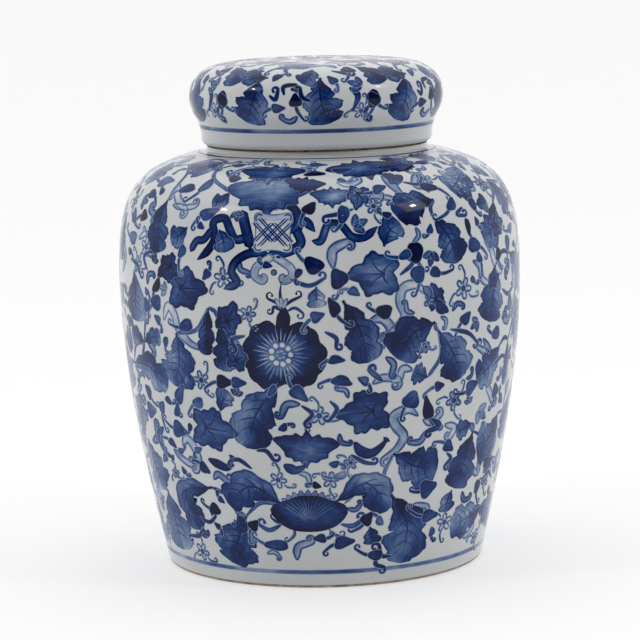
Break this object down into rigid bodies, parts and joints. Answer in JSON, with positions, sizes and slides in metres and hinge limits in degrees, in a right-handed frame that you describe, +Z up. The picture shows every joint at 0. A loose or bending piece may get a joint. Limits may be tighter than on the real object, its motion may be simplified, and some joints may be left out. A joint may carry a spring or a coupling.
{
  "type": "ginger jar",
  "caption": "High-shouldered porcelain jar with a hollow lift-off lid that drops over an upright neck, painted in blue under a clear glaze.",
  "frame": {"origin": "centre of the foot, on the plane that the jar stands on", "axes": "+Z up along the axis that both pieces are turned about; -Y towards the front of the painted panel, +X to the right of it"},
  "size_m": [0.1918, 0.1918, 0.24],
  "materials": {
    "porcelain_glaze": "clear glossy glaze over white porcelain",
    "cobalt_painting": "blue brush painting under the same clear glossy glaze",
    "bare_biscuit": "unglazed, fired buff, matt"
  },
  "bodies": {
    "jar": {"jar": "porcelain_glaze"},
    "lid": {"lid": "porcelain_glaze"}
  },
  "joints": [
    {"name": "lid_lift", "type": "slide", "parent": "jar", "child": "lid", "axis": [0, 0, 1], "range_m": [0, 0.12]}
  ]
}
